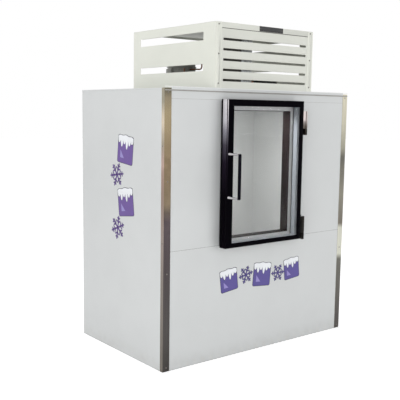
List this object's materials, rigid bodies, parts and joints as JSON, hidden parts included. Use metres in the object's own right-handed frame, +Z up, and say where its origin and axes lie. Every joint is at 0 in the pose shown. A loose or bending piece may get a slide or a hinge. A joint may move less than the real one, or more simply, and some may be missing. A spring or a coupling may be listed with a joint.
{
  "type": "ice merchandiser",
  "caption": "Insulated ice storage cabinet with a hinged glass door, floor racks, a ceiling cooling coil and a louvred condensing unit on its roof.",
  "frame": {"origin": "middle of the cabinet's footprint, on the underside of its base pan", "axes": "+Z up, +X to the right along the front as seen by a customer, +Y from the door to the back"},
  "size_m": [1.522, 1.1113, 2.0075],
  "materials": {
    "white_case": "gloss white enamel",
    "cream_housing": "satin off-white enamel",
    "white_liner": "satin white",
    "insulating_foam": "rigid foam",
    "galvanised_steel": "galvanised",
    "polished_trim": "polished stainless",
    "dark_jamb": "dark bronze",
    "black_door_frame": "gloss black",
    "door_glass": "clear",
    "glass_spacer": "mill finish",
    "grey_bead": "satin grey",
    "gasket_rubber": "matt black",
    "chrome_plate": "chrome plated",
    "black_grip": "satin black",
    "machine_black": "satin black",
    "copper_line": "bare copper",
    "line_insulation": "matt black foam rubber",
    "aluminium_fins": "mill finish",
    "fan_plastic": "satin grey",
    "guard_wire": "plated wire",
    "light_lens": "frosted white",
    "drain_plastic": "satin white",
    "badge_plate": "dark grey, bare",
    "control_grey": "satin grey",
    "switch_black": "gloss black"
  },
  "bodies": {
    "cabinet": {"back_skin": "white_case", "badge_plate": "badge_plate", "base_pan": "galvanised_steel", "compressor": "machine_black", "condenser_coil": "machine_black", "condenser_fan_motor": "machine_black", "condenser_shroud": "galvanised_steel", "condensing_unit_base": "galvanised_steel", "control_box": "control_grey", "discharge_line": "copper_line", "doorway_jamb": "dark_jamb", "evaporator_case": "white_liner", "evaporator_coil": "aluminium_fins", "evaporator_drain_pan": "galvanised_steel", "evaporator_fan_guard": "guard_wire", "evaporator_fan_motor": "machine_black", "floor_drain": "drain_plastic", "foam_insulation": "insulating_foam", "front_header_panel": "white_case", "front_lower_panel": "white_case", "front_upper_panel": "white_case", "housing_left_panel": "cream_housing", "housing_louvre_panel": "cream_housing", "housing_right_panel": "cream_housing", "housing_top_cover": "cream_housing", "interior_light": "light_lens", "left_corner_trim": "polished_trim", "left_side_skin": "white_case", "liner_ceiling": "white_liner", "liner_floor": "white_liner", "liner_front_wall": "white_liner", "liner_wrap": "white_liner", "liquid_line": "copper_line", "lower_hinge_cabinet_leaf": "chrome_plate", "receiver_tank": "machine_black", "right_corner_trim": "polished_trim", "right_side_skin": "white_case", "roof_cap": "white_case", "suction_line": "line_insulation", "upper_hinge_cabinet_leaf": "chrome_plate"},
    "door": {"door_left_stile": "black_door_frame", "door_right_stile": "black_door_frame", "door_top_rail": "black_door_frame", "door_bottom_rail": "black_door_frame", "door_outer_glass": "door_glass", "door_inner_glass": "door_glass", "glass_spacer": "glass_spacer", "glazing_bead": "grey_bead", "door_gasket": "gasket_rubber", "lower_handle_post": "chrome_plate", "upper_handle_post": "chrome_plate", "handle_grip": "black_grip", "lower_hinge_door_leaf": "chrome_plate", "upper_hinge_door_leaf": "chrome_plate"},
    "condenser_fan": {"condenser_fan": "fan_plastic"},
    "evaporator_fan": {"evaporator_fan": "fan_plastic"},
    "temperature_knob": {"temperature_knob": "switch_black"},
    "power_switch": {"power_switch": "switch_black"},
    "floor_rack_left": {"floor_rack_left": "galvanised_steel"},
    "floor_rack_right": {"floor_rack_right": "galvanised_steel"}
  },
  "joints": [
    {"name": "door_hinge", "type": "hinge", "parent": "cabinet", "child": "door", "pos_m": [0.302, -0.515, 0.69], "axis": [0, 0, 1], "range_deg": [0, 110]},
    {"name": "condenser_fan_spin", "type": "hinge", "parent": "cabinet", "child": "condenser_fan", "pos_m": [-0.222, -0.315, 1.7906], "axis": [0, 1, 0], "continuous": true},
    {"name": "evaporator_fan_spin", "type": "hinge", "parent": "cabinet", "child": "evaporator_fan", "pos_m": [-0.2, 0.1365, 1.46635], "axis": [0, 1, 0], "continuous": true},
    {"name": "temperature_knob_turn", "type": "hinge", "parent": "cabinet", "child": "temperature_knob", "pos_m": [0.2501, 0.378, 1.7323], "axis": [0, 1, 0], "range_deg": [0, 270]},
    {"name": "power_switch_rock", "type": "hinge", "parent": "cabinet", "child": "power_switch", "pos_m": [0.3249, 0.378, 1.7323], "axis": [1, 0, 0], "range_deg": [0, 16]},
    {"name": "floor_rack_left_lift", "type": "slide", "parent": "cabinet", "child": "floor_rack_left", "axis": [0, 0, 1], "range_m": [0, 0.3]},
    {"name": "floor_rack_right_lift", "type": "slide", "parent": "cabinet", "child": "floor_rack_right", "axis": [0, 0, 1], "range_m": [0, 0.3]}
  ]
}
